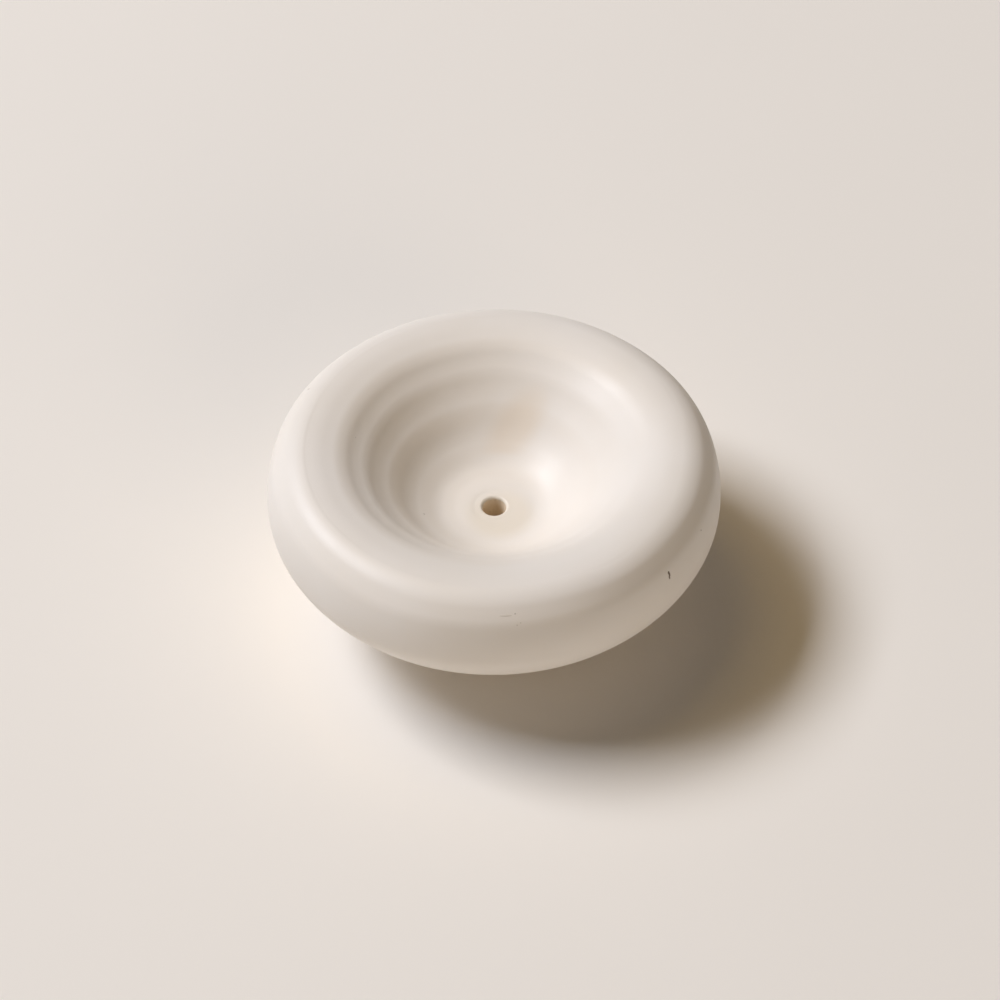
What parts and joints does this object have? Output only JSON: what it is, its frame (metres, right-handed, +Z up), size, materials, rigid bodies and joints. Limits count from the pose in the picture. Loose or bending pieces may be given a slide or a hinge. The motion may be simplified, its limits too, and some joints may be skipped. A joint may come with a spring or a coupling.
{
  "type": "incense stick holder",
  "caption": "Squat round stoneware incense stick holder with a fat rolled rim, a deep glazed ash dish, a central stick hole and a trimmed foot ring.",
  "frame": {"origin": "centre of the foot, on the surface that the holder stands on", "axes": "+Z up along the wheel's axis and the stick hole; X and Y are alike, and the picture looks along +Y"},
  "size_m": [0.076, 0.076, 0.0316],
  "materials": {
    "stoneware": "bare buff stoneware, fired matt",
    "glaze": "warm white satin glaze with faint throwing rings"
  },
  "bodies": {
    "root": {"clay_body": "stoneware", "glaze_coat": "glaze"}
  },
  "joints": []
}
